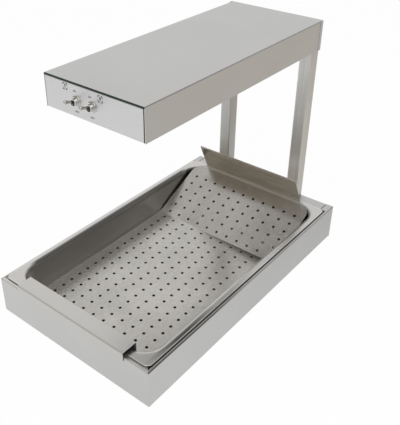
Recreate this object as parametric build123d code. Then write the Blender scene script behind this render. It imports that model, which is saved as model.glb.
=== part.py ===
from build123d import *
import math
import os

# Fry warmer: a heat and light head on two posts over a perforated tray in a food pan.
# Millimetres. X to the right, Y to the rear, Z up. The origin lies on the table, under the
# middle of the base. The switches and the tray's lip face -Y.

# Food pan, hung in the base frame by its rim
rim_width = 325.0
rim_length = 530.0
pan_depth = 65.0
pan_sheet = 0.9
rim_land = 15.0
rim_lift = 2.6
rim_edge = 1.2
rim_corner_radius = 11.0
rim_edge_radius = 0.7
rim_under_radius = 0.4
rim_bead_inset = 4.5
rim_bead_width = 2.9
rim_bend = 8.0
wall_draft = 4.0
pan_corner_radius = 35.0
pan_floor_radius = 16.5

# Base frame of folded rails
frame_height = 72.0
frame_sheet = 1.2
frame_bend = 2.0
side_margin = 5.5
front_margin = 6.2
rim_seat = 8.5
foot_flange = 12.0
rear_foot_margin = 3.0
rail_seam = 1.6
gusset_leg = 40.0
gusset_sheet = 1.2

# Posts
post_size = 24.4
post_wall = 1.5
post_corner = 2.0
post_spacing = 169.0
post_gap = 0.3
post_to_rim = 0.4

# Head
head_width = 196.0
head_depth = 478.0
head_height = 54.0
head_over_rim = 309.4
head_sheet = 1.0
head_bend = 2.0
panel_return = 12.0
rear_return = 9.0
panel_seam = 0.7
trim_height = 1.8
trim_depth = 8.0
trim_proud = 0.6
trim_end = 0.6
plate_lip = 10.0
plate_gap = 0.2
opening_side = 20.0
opening_front = 60.0
opening_rear = 62.0
opening_corner = 4.0
vent_count = 7
vent_pitch = 14.0
vent_length = 34.0
vent_width = 5.0
bulkhead_foot = 10.0

# Screws through the rear walls into the posts
screw_radius = 2.4
screw_hole_gap = 0.1
screw_length = 8.0
screw_head_radius = 4.5
screw_head_height = 2.0
screw_head_round = 1.4
screw_base_low = 20.0
screw_base_high = 50.0
screw_head_inset = 14.0

# Heater, reflector and lamp
heater_radius = 4.0
heater_half_span = 40.0
heater_above_plate = 17.0
heater_rear_room = 24.0
heater_tail = 12.0
heater_hole_gap = 0.4
terminal_bead_radius = 5.5
terminal_bead_length = 6.0
terminal_stud_radius = 2.0
terminal_stud_length = 9.0
clip_width = 12.0
clip_sheet = 2.0
clip_count = 2
clip_pitch = 150.0
clip_gap = 0.1
reflector_flat = 100.0
reflector_slant = 10.0
reflector_drop = 12.0
reflector_sheet = 0.8
reflector_bend = 2.0
reflector_hang = 12.0
reflector_behind_lamp = 84.0
reflector_rear_room = 14.0
standoff_radius = 4.0
standoff_span = 60.0
standoff_pitch = 200.0
lamp_above_plate = 20.0
holder_radius = 14.0
holder_length = 24.0
holder_collar = 8.0
holder_shoulder = 12.0
holder_neck_radius = 12.0
bulb_radius = 15.0
bulb_neck_radius = 11.0
bulb_neck_length = 8.0
bulb_length = 58.0

# Wiring inside the head
block_length = 44.0
block_depth = 18.0
block_height = 15.0
block_well_radius = 3.0
block_well_depth = 4.0
block_from_rear = 40.0
loom_radius = 3.0
loom_gap = 0.5
loom_bend = 9.0
loom_behind_panel = 16.0

# Toggle switches
switch_spacing = 31.5
switch_mid_x = -16.8
switch_below_top = 28.8
switch_body_width = 18.0
switch_body_height = 26.0
switch_body_depth = 22.0
switch_body_corner = 1.5
switch_tab_width = 6.0
switch_tab_sheet = 0.8
switch_tab_length = 8.0
switch_tab_pitch = 8.5
bushing_radius = 6.0
bushing_bore = 4.6
bushing_length = 7.0
bushing_gap = 0.1
nut_across_flats = 15.0
nut_thickness = 2.5
washer_radius = 8.5
washer_thickness = 0.8
pivot_depth = 1.6
pivot_radius = 1.0
pivot_gap = 0.05
pivot_end_gap = 0.2
lever_ball = 1.9
lever_neck = 1.45
lever_tip = 2.8
lever_length = 22.5
lever_tilt = 17.0

# Perforated tray, one bent sheet
tray_sheet = 1.0
tray_gap = 0.3
tray_floor_height = 9.0
tray_flap_height = 7.4
tray_flap_width = 240.0
tray_lip_gap = 1.0
tray_lip_depth = 17.0
tray_bend = 2.0
tray_floor_bend = 3.0
tray_floor_length = 362.0
slope_length = 145.0
slope_angle = 25.1
rear_flap_width = 230.0
rear_flap_height = 67.0
rear_flap_hem = 8.0
hem_width = 3.2
hem_bend = 1.5
hole_size = 5.4
hole_sides = 8
hole_columns = 11
hole_pitch_x = 24.3
hole_pitch_y = 20.3
floor_rows = 17
slope_rows = 6

# Cord, its strain relief, hank and plug
cord_radius = 3.5
relief_x = 14.0
relief_above_plate = 14.0
relief_radius = 6.5
relief_end_radius = 4.6
relief_length = 26.0
relief_flange_radius = 9.0
relief_flange = 3.0
relief_inner_flange = 2.0
relief_hole_gap = 0.2
cord_bend_share = 0.45
hank_lobe_radius = 30.0
hank_lobe_spacing = 130.0
hank_waist = 13.0
hank_pitch = 8.0
hank_turns = 3
hank_reverse = 1.25
hank_climb = 0.2
hank_tail = 8.0
hank_x = -90.0
hank_behind = 40.0
hank_lift = 1.3
hank_run_in = 31.0
hank_run_out = 24.0
tie_sheet = 1.0
tie_width = 4.5
tie_gap = 0.4
tie_head_size = 7.0
plug_grip_length = 22.0
plug_grip_size = 11.2
plug_grip_corner = 4.2
plug_body_length = 20.0
plug_body_width = 24.0
plug_body_height = 22.0
plug_body_corner = 4.0
plug_blade_spacing = 12.7
plug_blade_width = 6.3
plug_blade_sheet = 1.5
plug_blade_length = 16.0
plug_pin_radius = 2.4
plug_pin_length = 19.0
plug_pin_drop = 5.0

# Places that follow from the sizes above
side_flange = side_margin + rim_seat
front_flange = front_margin + rim_seat
rear_margin = frame_bend + post_size + post_to_rim
rear_plate = rear_margin + rim_seat
rear_foot = frame_bend + post_size + rear_foot_margin
base_width = rim_width + 2 * side_margin
base_depth = front_margin + rim_length + rear_margin
front_y = -base_depth / 2
rear_y = base_depth / 2
side_x = base_width / 2
rim_top = frame_height + rim_lift
rim_front = front_y + front_margin
pan_y = rim_front + rim_length / 2
pan_floor = rim_top - pan_depth + pan_sheet
post_x = post_spacing / 2
post_y = rear_y - frame_bend - post_size / 2
post_rear = post_y + post_size / 2
head_bottom = rim_top + head_over_rim
head_top = head_bottom + head_height
head_front = rear_y - head_depth
head_x = head_width / 2
head_inner_x = head_x - head_sheet
head_ceiling = head_top - head_sheet
plate_top = head_bottom + head_sheet
cavity_front = head_front + opening_front
cavity_rear = rear_y - opening_rear
heater_z = plate_top + heater_above_plate
lamp_z = plate_top + lamp_above_plate
reflector_z = head_ceiling - reflector_hang
switch_z = head_top - switch_below_top
relief_z = plate_top + relief_above_plate
hank_lobe_x = hank_lobe_spacing / 2
hank_waist_side = hank_lobe_x**2 + hank_waist**2 - hank_lobe_radius**2
hank_waist_radius = hank_waist_side / (2 * (hank_lobe_radius - hank_waist))
hank_lobe_arc = hank_lobe_radius * math.atan2(hank_waist + hank_waist_radius, -hank_lobe_x)
hank_waist_arc = hank_waist_radius * math.atan2(hank_lobe_x, hank_waist + hank_waist_radius)
hank_quarter = hank_lobe_arc + hank_waist_arc
hank_start = hank_lobe_radius * math.pi / 2 / (4 * hank_quarter)
hank_end = hank_turns - hank_start
screw_inner = screw_length - screw_head_height


# A sheet profile: a path with rounded bends, made one sheet thick on one side
def sheet_face(points, bends, sheet, side):
    path = FilletPolyline(*points, radius=bends)
    outline = offset(Wire(path.edges()), amount=sheet, side=side, closed=True)
    return make_face(outline.edges())


# A box given by its least and greatest corner
def block(low, high):
    size = [b - a for a, b in zip(low, high)]
    middle = [(a + b) / 2 for a, b in zip(low, high)]
    return Pos(*middle) * Box(*size)


# A cylinder along Y, from one y to another
def rod_y(radius, x, z, y_start, y_end):
    plane = Plane(origin=(x, y_start, z), x_dir=(1, 0, 0), z_dir=(0, 1, 0))
    return extrude(plane * Circle(radius), amount=y_end - y_start)


# A turned piece along Y: pairs of (distance along Y, radius) from the axis out and back
def turned_y(profile, x, y, z):
    face = make_face(Polyline(*[(r, d) for d, r in profile], close=True).edges())
    plane = Plane(origin=(x, y, z), x_dir=(1, 0, 0), z_dir=(0, 0, 1))
    return revolve(plane * face, axis=Axis((x, y, z), (0, 1, 0)))


# How far the pan's inner face stands in from the foot of its rim, at height z
def pan_inset(z):
    slope = math.tan(math.radians(wall_draft))
    half_turn = math.radians((90 - wall_draft) / 2)
    foot = (rim_top - pan_floor) * slope
    centre = foot + pan_floor_radius * math.tan(half_turn)
    drop = pan_floor + pan_floor_radius - z
    on_radius = centre - math.sqrt(max(pan_floor_radius**2 - drop**2, 0))
    on_wall = (rim_top - z) * slope
    return max(on_radius, on_wall) if drop > 0 else on_wall


# Base frame

def make_rails():
    front_zone = extrude(
        make_face(
            Polyline(
                (-side_x, front_y),
                (side_x, front_y),
                (side_x - side_flange, front_y + front_flange),
                (-side_x + side_flange, front_y + front_flange),
                close=True,
            ).edges()
        ),
        amount=frame_height,
    )
    bends = [frame_bend, frame_bend]

    front_points = [
        (front_y + foot_flange, 0),
        (front_y, 0),
        (front_y, frame_height),
        (front_y + front_flange, frame_height),
    ]
    front_face = sheet_face(front_points, bends, frame_sheet, Side.RIGHT)
    front = extrude(Plane.YZ * front_face, amount=side_x, both=True) & front_zone

    rear_points = [
        (rear_y - rear_foot, 0),
        (rear_y, 0),
        (rear_y, frame_height),
        (rear_y - rear_plate, frame_height),
    ]
    rear_face = sheet_face(rear_points, bends, frame_sheet, Side.LEFT)
    rear = extrude(Plane.YZ * rear_face, amount=side_x, both=True)
    seam_x = side_x - side_flange - rail_seam
    plate_under = frame_height - frame_sheet
    for sign in (-1, 1):
        near = sorted((sign * seam_x, sign * side_x))
        rear -= block((near[0], rear_y - rear_plate, plate_under), (near[1], rear_y, frame_height))
        foot = sorted((sign * (side_x - foot_flange), sign * side_x))
        inside = rear_y - frame_sheet
        rear -= block((foot[0], rear_y - rear_foot, 0), (foot[1], inside, frame_bend))
        hole = Pos(sign * post_x, post_y, plate_under) * RectangleRounded(
            post_size + 2 * post_gap, post_size + 2 * post_gap, post_corner
        )
        rear -= extrude(hole, amount=frame_sheet)
        for z in (screw_base_low, screw_base_high):
            rear -= rod_y(screw_radius + screw_hole_gap, sign * post_x, z, inside, rear_y)

    side_points = [
        (side_x - foot_flange, 0),
        (side_x, 0),
        (side_x, frame_height),
        (side_x - side_flange, frame_height),
    ]
    side_face = sheet_face(side_points, bends, frame_sheet, Side.LEFT)
    right = extrude(Plane.XZ * side_face, amount=base_depth / 2, both=True) - front_zone - rear
    left = mirror(right, about=Plane.YZ)
    return front, rear, left, right


# Triangular plates welded on the foot flanges in the four corners
def make_gussets():
    triangle = make_face(Polyline((0, 0), (gusset_leg, 0), (0, gusset_leg), close=True).edges())
    plates = []
    inner_x = side_x - frame_bend
    inner_front = front_y + frame_bend
    inner_rear = rear_y - frame_bend
    for x, y, turn in (
        (-inner_x, inner_front, 0),
        (inner_x, inner_front, 90),
        (inner_x, inner_rear, 180),
        (-inner_x, inner_rear, 270),
    ):
        plate = extrude(triangle, amount=gusset_sheet)
        plate = chamfer(plate.edges().filter_by(Axis.Z).sort_by(lambda e: e.center().length)[0], frame_bend)
        plates.append(Pos(x, y, frame_sheet) * Rot(0, 0, turn) * plate)
    return plates


# Posts

def make_post(x):
    tube = RectangleRounded(post_size, post_size, post_corner)
    bore = RectangleRounded(post_size - 2 * post_wall, post_size - 2 * post_wall, post_corner / 2)
    height = head_ceiling - frame_sheet - post_gap
    post = extrude(Pos(x, post_y, frame_sheet) * (tube - bore), amount=height)
    for z in screw_heights():
        post -= rod_y(screw_radius + screw_hole_gap, x, z, post_y, post_rear)
    return post


def screw_heights():
    low = head_bottom + screw_head_inset
    high = head_top - screw_head_inset
    return [screw_base_low, screw_base_high, low, high]


# Pan-head screws: a rounded head outside the wall and a plain shank through wall and post
def make_screws(heights):
    screws = []
    for x in (-post_x, post_x):
        for z in heights:
            head = rod_y(screw_head_radius, x, z, rear_y, rear_y + screw_head_height)
            head = fillet(head.edges().sort_by(Axis.Y)[-1], screw_head_round)
            screws.append(head + rod_y(screw_radius, x, z, rear_y - screw_inner, rear_y))
    return screws


# Head housing

def make_cover(rear_panel):
    points = [
        (-head_x, head_bottom),
        (-head_x, head_top),
        (head_x, head_top),
        (head_x, head_bottom),
    ]
    face = sheet_face(points, [head_bend, head_bend], head_sheet, Side.RIGHT)
    length = head_depth - head_sheet
    plane = Plane.XZ.offset(-head_front)
    return extrude(plane * face, amount=-length) - rear_panel


def switch_places():
    return [switch_mid_x - switch_spacing / 2, switch_mid_x + switch_spacing / 2]


def make_front_panel():
    top = head_ceiling - trim_height
    back = head_front + panel_return
    points = [(back, top), (head_front, top), (head_front, head_bottom), (back, head_bottom)]
    face = sheet_face(points, [head_bend, head_bend], head_sheet, Side.LEFT)
    panel = extrude(Plane.YZ * face, amount=head_inner_x - panel_seam, both=True)
    for x in switch_places():
        panel -= rod_y(bushing_radius + bushing_gap, x, switch_z, head_front, head_front + head_sheet)
    return panel


# A tongue under the cover's top sheet, with a lip over the sheet's front edge
def make_edge_trim():
    half = head_x - head_bend
    low = head_ceiling - trim_height
    tongue = block((-half, head_front, low), (half, head_front + trim_depth, head_ceiling))
    lip_half = head_x - trim_end
    lip = block((-lip_half, head_front - trim_proud, low), (lip_half, head_front, head_top))
    corners = lip.edges().filter_by(Axis.Y).sort_by(Axis.Z)[-2:]
    return tongue + fillet(corners, head_bend)


def make_rear_panel():
    outer_x = head_x + head_sheet
    near = rear_y - rear_return
    points = [(outer_x, near), (outer_x, rear_y), (-outer_x, rear_y), (-outer_x, near)]
    face = sheet_face(points, [head_bend, head_bend], head_sheet, Side.LEFT)
    panel = extrude(Pos(0, 0, head_bottom) * face, amount=head_height)
    panel -= rod_y(relief_radius + relief_hole_gap, relief_x, relief_z, rear_y - head_sheet, rear_y)
    for x in (-post_x, post_x):
        for z in screw_heights()[2:]:
            panel -= rod_y(screw_radius + screw_hole_gap, x, z, rear_y - head_sheet, rear_y)
    return panel


def make_bottom_plate():
    lip_top = head_bottom + plate_lip
    points = [
        (-head_inner_x, lip_top),
        (-head_inner_x, head_bottom),
        (head_inner_x, head_bottom),
        (head_inner_x, lip_top),
    ]
    face = sheet_face(points, [head_bend, head_bend], head_sheet, Side.LEFT)
    near = head_front + panel_return + plate_gap
    plane = Plane.XZ.offset(-near)
    plate = extrude(plane * face, amount=-(rear_y - head_sheet - near))

    width = head_width - 2 * opening_side
    middle = (cavity_front + cavity_rear) / 2
    mouth = RectangleRounded(width, cavity_rear - cavity_front, opening_corner)
    plate -= extrude(Pos(0, middle, head_bottom) * mouth, amount=head_sheet)

    post_hole = Rectangle(post_size + 2 * post_gap, post_size + 2 * post_gap)
    for x in (-post_x, post_x):
        plate -= extrude(Pos(x, post_y, head_bottom) * post_hole, amount=plate_lip)

    slot = Rot(0, 0, 90) * SlotOverall(vent_length, vent_width)
    vent_y = (cavity_rear + rear_y) / 2
    vents = Pos(0, vent_y, head_bottom) * GridLocations(vent_pitch, 1, vent_count, 1)
    plate -= extrude(Sketch() + [place * slot for place in vents], amount=head_sheet)
    return plate


# Heat shield between the switches and the heater, standing on the bottom plate
def make_bulkhead():
    foot = cavity_front - bulkhead_foot
    points = [(foot, plate_top), (cavity_front, plate_top), (cavity_front, head_ceiling)]
    face = sheet_face(points, [head_bend], head_sheet, Side.LEFT)
    half = head_inner_x - head_bend - plate_gap
    shield = extrude(Plane.YZ * face, amount=half, both=True)
    near = cavity_front - head_sheet
    for x in (-heater_half_span, heater_half_span):
        shield -= rod_y(heater_radius + heater_hole_gap, x, heater_z, near, cavity_front)
    loom = loom_places()
    room = loom_radius + loom_gap
    notch_low = (-half, near, loom["z"] - room)
    notch_high = (loom["x"] + room, cavity_front, head_ceiling)
    return shield - block(notch_low, notch_high)


# Heater, reflector and lamp

def heater_tail_y():
    return cavity_front - head_sheet - heater_tail


def make_heater():
    bend_y = cavity_rear - heater_rear_room - heater_half_span
    start = heater_tail_y()
    span = heater_half_span
    path = Wire(
        [
            Line((span, start, heater_z), (span, bend_y, heater_z)),
            ThreePointArc(
                (span, bend_y, heater_z), (0, bend_y + span, heater_z), (-span, bend_y, heater_z)
            ),
            Line((-span, bend_y, heater_z), (-span, start, heater_z)),
        ]
    )
    section = Plane(origin=path @ 0, z_dir=path % 0) * Circle(heater_radius)
    return sweep(section, path=path)


# Ceramic bead and threaded stud on each cold end of the heating tube
def make_terminals():
    stud = terminal_bead_length + terminal_stud_length
    profile = [
        (0, 0),
        (0, terminal_bead_radius),
        (-terminal_bead_length, terminal_bead_radius),
        (-terminal_bead_length, terminal_stud_radius),
        (-stud, terminal_stud_radius),
        (-stud, 0),
    ]
    return [
        turned_y(profile, x, heater_tail_y(), heater_z) for x in (-heater_half_span, heater_half_span)
    ]


def reflector_span():
    return cavity_front + reflector_behind_lamp, cavity_rear - reflector_rear_room


# Straps that hang the heating tube under the reflector
def make_clips():
    near, far = reflector_span()
    middle = (near + far - heater_half_span) / 2
    low = heater_z - heater_radius - clip_sheet
    straps = []
    for x in (-heater_half_span, heater_half_span):
        for k in range(clip_count):
            y = middle + (k - (clip_count - 1) / 2) * clip_pitch
            strap = block(
                (x - clip_width / 2, y - clip_sheet / 2, low),
                (x + clip_width / 2, y + clip_sheet / 2, reflector_z),
            )
            hole_radius = heater_radius + clip_gap
            strap -= rod_y(hole_radius, x, heater_z, y - clip_sheet / 2, y + clip_sheet / 2)
            straps.append(strap)
    return straps


# Shallow polished trough over the heating tube
def make_reflector():
    flat = reflector_flat / 2
    edge = flat + reflector_slant
    low = reflector_z - reflector_drop
    points = [(-edge, low), (-flat, reflector_z), (flat, reflector_z), (edge, low)]
    face = sheet_face(points, [reflector_bend, reflector_bend], reflector_sheet, Side.LEFT)
    near, far = reflector_span()
    return extrude(Plane.XZ.offset(-near) * face, amount=-(far - near))


def make_standoffs():
    near, far = reflector_span()
    low = reflector_z + reflector_sheet
    places = Pos(0, (near + far) / 2, low) * GridLocations(standoff_span, standoff_pitch, 2, 2)
    return [extrude(place * Circle(standoff_radius), amount=head_ceiling - low) for place in places]


def make_lamp_holder():
    profile = [
        (0, 0),
        (0, holder_radius),
        (holder_collar, holder_radius),
        (holder_shoulder, holder_neck_radius),
        (holder_length, holder_neck_radius),
        (holder_length, 0),
    ]
    return turned_y(profile, 0, cavity_front, lamp_z)


# Tubular bulb: a neck that swells to a straight barrel with a domed end
def make_bulb():
    start = cavity_front + holder_length
    shoulder = bulb_neck_length
    barrel = bulb_length - bulb_radius
    swell = (bulb_neck_radius + bulb_radius) / 2
    face = make_face(
        [
            Line((0, 0), (bulb_neck_radius, 0)),
            Line((bulb_neck_radius, 0), (bulb_neck_radius, shoulder / 2)),
            Line((bulb_neck_radius, shoulder / 2), (swell, shoulder)),
            Line((swell, shoulder), (bulb_radius, shoulder * 1.5)),
            Line((bulb_radius, shoulder * 1.5), (bulb_radius, barrel)),
            CenterArc((0, barrel), bulb_radius, 0, 90),
            Line((0, bulb_length), (0, 0)),
        ]
    )
    plane = Plane(origin=(0, start, lamp_z), x_dir=(1, 0, 0), z_dir=(0, 0, 1))
    return revolve(plane * face, axis=Axis((0, start, lamp_z), (0, 1, 0)))


# Wiring

def make_terminal_block():
    y = rear_y - block_from_rear
    low = head_ceiling - block_height
    body = block(
        (-block_length / 2, y - block_depth / 2, low),
        (block_length / 2, y + block_depth / 2, head_ceiling),
    )
    wells = Pos(0, y, low) * GridLocations(block_length / 3, block_depth / 2, 3, 2)
    for place in wells:
        body -= extrude(place * Circle(block_well_radius), amount=block_well_depth)
    return body


def loom_places():
    return {
        "x": -head_inner_x + head_sheet + loom_gap + loom_radius,
        "z": head_ceiling - loom_gap - loom_radius,
        "rear": rear_y - block_from_rear,
        "front": head_front + loom_behind_panel,
    }


# Wires from the terminal block along the left wall to the first switch
def make_loom():
    at = loom_places()
    body_top = switch_z + switch_body_height / 2
    first = switch_places()[0]
    drop = min(loom_bend, at["z"] - body_top - loom_radius)
    path = FilletPolyline(
        (-block_length / 2, at["rear"], at["z"]),
        (at["x"], at["rear"], at["z"]),
        (at["x"], at["front"], at["z"]),
        (first, at["front"], at["z"]),
        (first, at["front"], body_top),
        radius=[loom_bend, loom_bend, drop],
    )
    wire = Wire(path.edges())
    section = Plane(origin=wire @ 0, z_dir=wire % 0) * Circle(loom_radius)
    return sweep(section, path=wire)


# Toggle switches

def make_switch_body(x):
    near = head_front + head_sheet
    far = near + switch_body_depth
    half_width = switch_body_width / 2
    half_height = switch_body_height / 2
    body = block(
        (x - half_width, near, switch_z - half_height),
        (x + half_width, far, switch_z + half_height),
    )
    body = fillet(body.edges().filter_by(Axis.Y), switch_body_corner)
    for k in (-1, 0, 1):
        z = switch_z + k * switch_tab_pitch
        body += block(
            (x - switch_tab_width / 2, far, z - switch_tab_sheet / 2),
            (x + switch_tab_width / 2, far + switch_tab_length, z + switch_tab_sheet / 2),
        )
    return body


def pivot_y():
    return head_front - pivot_depth


# Plain collar with a cross hole for the lever's pin
def make_bushing(x):
    mouth = head_front - bushing_length
    collar = rod_y(bushing_radius, x, switch_z, mouth, head_front + head_sheet)
    collar -= rod_y(bushing_bore, x, switch_z, mouth, head_front + head_sheet)
    pin_plane = Plane(origin=(x, pivot_y(), switch_z), x_dir=(0, 1, 0), z_dir=(1, 0, 0))
    return collar - extrude(
        pin_plane * Circle(pivot_radius + pivot_gap), amount=bushing_radius, both=True
    )


def make_washers():
    washers = []
    for x in switch_places():
        near = head_front - washer_thickness
        ring = rod_y(washer_radius, x, switch_z, near, head_front)
        washers.append(ring - rod_y(bushing_radius + bushing_gap, x, switch_z, near, head_front))
    return washers


def make_nuts():
    nuts = []
    far = head_front - washer_thickness
    near = far - nut_thickness
    for x in switch_places():
        plane = Plane(origin=(x, near, switch_z), x_dir=(1, 0, 0), z_dir=(0, 1, 0))
        hexagon = RegularPolygon(nut_across_flats / 2, 6, major_radius=False)
        nut = extrude(plane * hexagon, amount=nut_thickness)
        nuts.append(nut - rod_y(bushing_radius + bushing_gap, x, switch_z, near, far))
    return nuts


# Bat-shaped lever on a cross pin, tilted up in its ON position
def make_lever(x):
    tip_centre = lever_length - lever_tip
    bat = make_face(
        [
            Line((0, 0), (0, lever_length)),
            CenterArc((0, tip_centre), lever_tip, 0, 90),
            Line((lever_tip, tip_centre), (lever_neck, bushing_length)),
            Line((lever_neck, bushing_length), (lever_neck, 0)),
            Line((lever_neck, 0), (0, 0)),
        ]
    )
    tilt = math.radians(lever_tilt)
    along = (0, -math.cos(tilt), math.sin(tilt))
    origin = (x, pivot_y(), switch_z)
    bat_plane = Plane(origin=origin, x_dir=(1, 0, 0), z_dir=Vector(1, 0, 0).cross(Vector(*along)))
    lever = revolve(bat_plane * bat, axis=Axis(origin, along))
    lever += Pos(*origin) * Sphere(lever_ball)
    pin_plane = Plane(origin=origin, x_dir=(0, 1, 0), z_dir=(1, 0, 0))
    pin_half = bushing_radius - pivot_end_gap
    return lever + extrude(pin_plane * Circle(pivot_radius), amount=pin_half, both=True)


# Food pan

def make_pan():
    slope = math.tan(math.radians(wall_draft))
    half_turn = math.radians((90 - wall_draft) / 2)
    foot = -(rim_top - pan_floor) * slope
    floor_tangent = foot - pan_floor_radius * math.tan(half_turn)
    rim_tangent = rim_bend * math.tan(half_turn)
    overlap = pan_sheet
    mouth_width = rim_width - 2 * rim_land
    mouth_length = rim_length - 2 * rim_land

    points = [
        (floor_tangent - overlap, pan_floor),
        (foot, pan_floor),
        (0, rim_top),
        (rim_tangent + overlap, rim_top),
    ]
    wall_face = sheet_face(points, [pan_floor_radius, rim_bend], pan_sheet, Side.RIGHT)
    mouth = Pos(0, pan_y) * RectangleRounded(mouth_width, mouth_length, pan_corner_radius)
    path = mouth.wire()
    start = Vector(mouth_width / 2, pan_y, 0)
    path = Wire(sorted(path.edges(), key=lambda e: (e.center() - start).length))
    wall_plane = Plane(origin=start, x_dir=(1, 0, 0), z_dir=(0, -1, 0))
    wall = sweep(wall_plane * wall_face, path=path)

    inner = 2 * floor_tangent
    floor_outline = RectangleRounded(
        mouth_width + inner, mouth_length + inner, pan_corner_radius + floor_tangent
    )
    floor = extrude(Pos(0, pan_y, pan_floor - pan_sheet) * floor_outline, amount=pan_sheet)

    # Rim with a flattened edge, and a bead pressed down from it that rests on the frame
    edge_low = rim_top - rim_edge
    rim = extrude(
        Pos(0, pan_y, edge_low) * RectangleRounded(rim_width, rim_length, rim_corner_radius),
        amount=rim_edge,
    )
    rim = fillet(rim.faces().sort_by(Axis.Z)[-1].edges(), rim_edge_radius)
    rim = fillet(rim.faces().sort_by(Axis.Z)[0].edges(), rim_under_radius)
    bead_out = 2 * rim_bead_inset
    bead_in = bead_out + 2 * rim_bead_width
    bead = RectangleRounded(
        rim_width - bead_out, rim_length - bead_out, rim_corner_radius - rim_bead_inset
    )
    bead -= RectangleRounded(
        rim_width - bead_in, rim_length - bead_in, rim_corner_radius - bead_in / 2
    )
    rim += extrude(Pos(0, pan_y, frame_height) * bead, amount=edge_low - frame_height)
    outer = 2 * rim_tangent
    throat = RectangleRounded(
        mouth_width + outer, mouth_length + outer, pan_corner_radius + rim_tangent
    )
    rim -= extrude(Pos(0, pan_y, frame_height) * throat, amount=rim_lift)
    return wall + floor + rim


# Perforated tray

def tray_places():
    under = pan_floor + tray_floor_height - tray_sheet
    inset = rim_land + pan_inset(under) + tray_gap
    floor_z = under + tray_sheet
    drop_y = rim_front + inset + tray_sheet
    bend_y = drop_y + tray_floor_length
    return {
        "floor_z": floor_z,
        "half_width": rim_width / 2 - inset,
        "corner": pan_corner_radius - pan_inset(under) - tray_gap,
        "front": rim_front + inset,
        "drop_y": drop_y,
        "bend_y": bend_y,
        "flap_z": rim_top + tray_flap_height,
        "lip_y": front_y - tray_lip_gap - tray_sheet,
    }


def make_tray():
    at = tray_places()
    lean = math.radians(slope_angle)
    along = Vector(0, math.cos(lean), math.sin(lean))
    normal = Vector(0, -math.sin(lean), math.cos(lean))
    bend = Vector(0, at["bend_y"], at["floor_z"])
    crease = bend + along * slope_length
    flap_top = crease + normal * rear_flap_height
    hem_top = flap_top + along * hem_width
    hem_end = hem_top - normal * rear_flap_hem

    corners = [
        Vector(0, at["lip_y"], at["flap_z"] - tray_lip_depth),
        Vector(0, at["lip_y"], at["flap_z"]),
        Vector(0, at["drop_y"], at["flap_z"]),
        Vector(0, at["drop_y"], at["floor_z"]),
        bend,
        crease,
        flap_top,
        hem_top,
        hem_end,
    ]
    bends = [tray_bend, tray_bend, tray_bend, tray_floor_bend, tray_bend, hem_bend, hem_bend]
    face = sheet_face([(p.Y, p.Z) for p in corners], bends, tray_sheet, Side.RIGHT)
    tray = extrude(Plane.YZ * face, amount=at["half_width"], both=True)

    # Plan outline: the pan's own rounded corners at the front, and the narrower flap and lip
    width = 2 * at["half_width"]
    reach = crease.Y + rear_flap_height - at["front"]
    body_outline = Pos(0, at["front"] + reach / 2) * RectangleRounded(width, reach, at["corner"])
    flap_depth = at["front"] + at["corner"] - at["lip_y"]
    flap_outline = Pos(0, at["lip_y"] + flap_depth / 2) * Rectangle(tray_flap_width, flap_depth)
    tray = tray & extrude(body_outline + flap_outline, amount=head_bottom)

    # Slope outline: rounded rear corners down to the width of the rear flap
    slope_plane = Plane(origin=bend, x_dir=(1, 0, 0), z_dir=normal)
    step = at["half_width"] - rear_flap_width / 2
    for sign in (-1, 1):
        corner_x = sign * (rear_flap_width / 2 + step)
        corner_cut = Rectangle(2 * step, 2 * step) - Pos(-sign * step, -step) * Circle(step)
        corner_cut = Pos(corner_x, slope_length) * corner_cut
        corner_cut += Pos(corner_x, slope_length + step / 2) * Rectangle(2 * step, step)
        keep = Rectangle(2 * step, 2 * step)
        keep = Pos(corner_x - sign * 2 * step, slope_length) * keep
        tray -= extrude(slope_plane * (corner_cut - keep), amount=2 * rear_flap_height, both=True)

    # Holes: rows on both sides of the floor's bend, half a pitch from it
    hole = Rot(0, 0, 180 / hole_sides) * RegularPolygon(
        hole_size / 2, hole_sides, major_radius=False
    )
    floor_mid = at["bend_y"] - floor_rows * hole_pitch_y / 2
    floor_grid = GridLocations(hole_pitch_x, hole_pitch_y, hole_columns, floor_rows)
    floor_plane = Plane(origin=(0, floor_mid, at["floor_z"]))
    floor_holes = Sketch() + [place * hole for place in floor_grid]
    tray -= extrude(floor_plane * floor_holes, amount=-tray_sheet)
    slope_grid = GridLocations(hole_pitch_x, hole_pitch_y, hole_columns, slope_rows)
    slope_mid = Pos(0, slope_rows * hole_pitch_y / 2)
    slope_holes = Sketch() + [slope_mid * place * hole for place in slope_grid]
    return tray - extrude(slope_plane * slope_holes, amount=-tray_sheet)


# Cord

def make_relief():
    reach = relief_flange + relief_length
    inner = head_sheet + relief_inner_flange
    profile = [
        (-inner, 0),
        (-inner, relief_flange_radius),
        (-head_sheet, relief_flange_radius),
        (-head_sheet, relief_radius),
        (0, relief_radius),
        (0, relief_flange_radius),
        (relief_flange, relief_flange_radius),
        (relief_flange, relief_radius),
        (reach, relief_end_radius),
        (reach, 0),
    ]
    return turned_y(profile, relief_x, rear_y, relief_z)


# A tube along a path of points, each corner rounded as far as its two runs allow
def cord_tube(points):
    radii = []
    for a, b, c in zip(points, points[1:], points[2:]):
        before = Vector(*b) - Vector(*a)
        after = Vector(*c) - Vector(*b)
        turn = math.radians(before.get_angle(after))
        radii.append(cord_bend_share * min(before.length, after.length) / math.tan(turn / 2))
    path = Wire(FilletPolyline(*points, radius=radii).edges())
    section = Plane(origin=path @ 0, z_dir=path % 0) * Circle(cord_radius)
    tube = sweep(section, path=path)
    ratio = tube.volume / (math.pi * cord_radius**2 * path.length)
    print("cord run", round(path.length, 1), "radii", [round(r) for r in radii], "volume", round(ratio, 4))
    return tube, path


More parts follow.
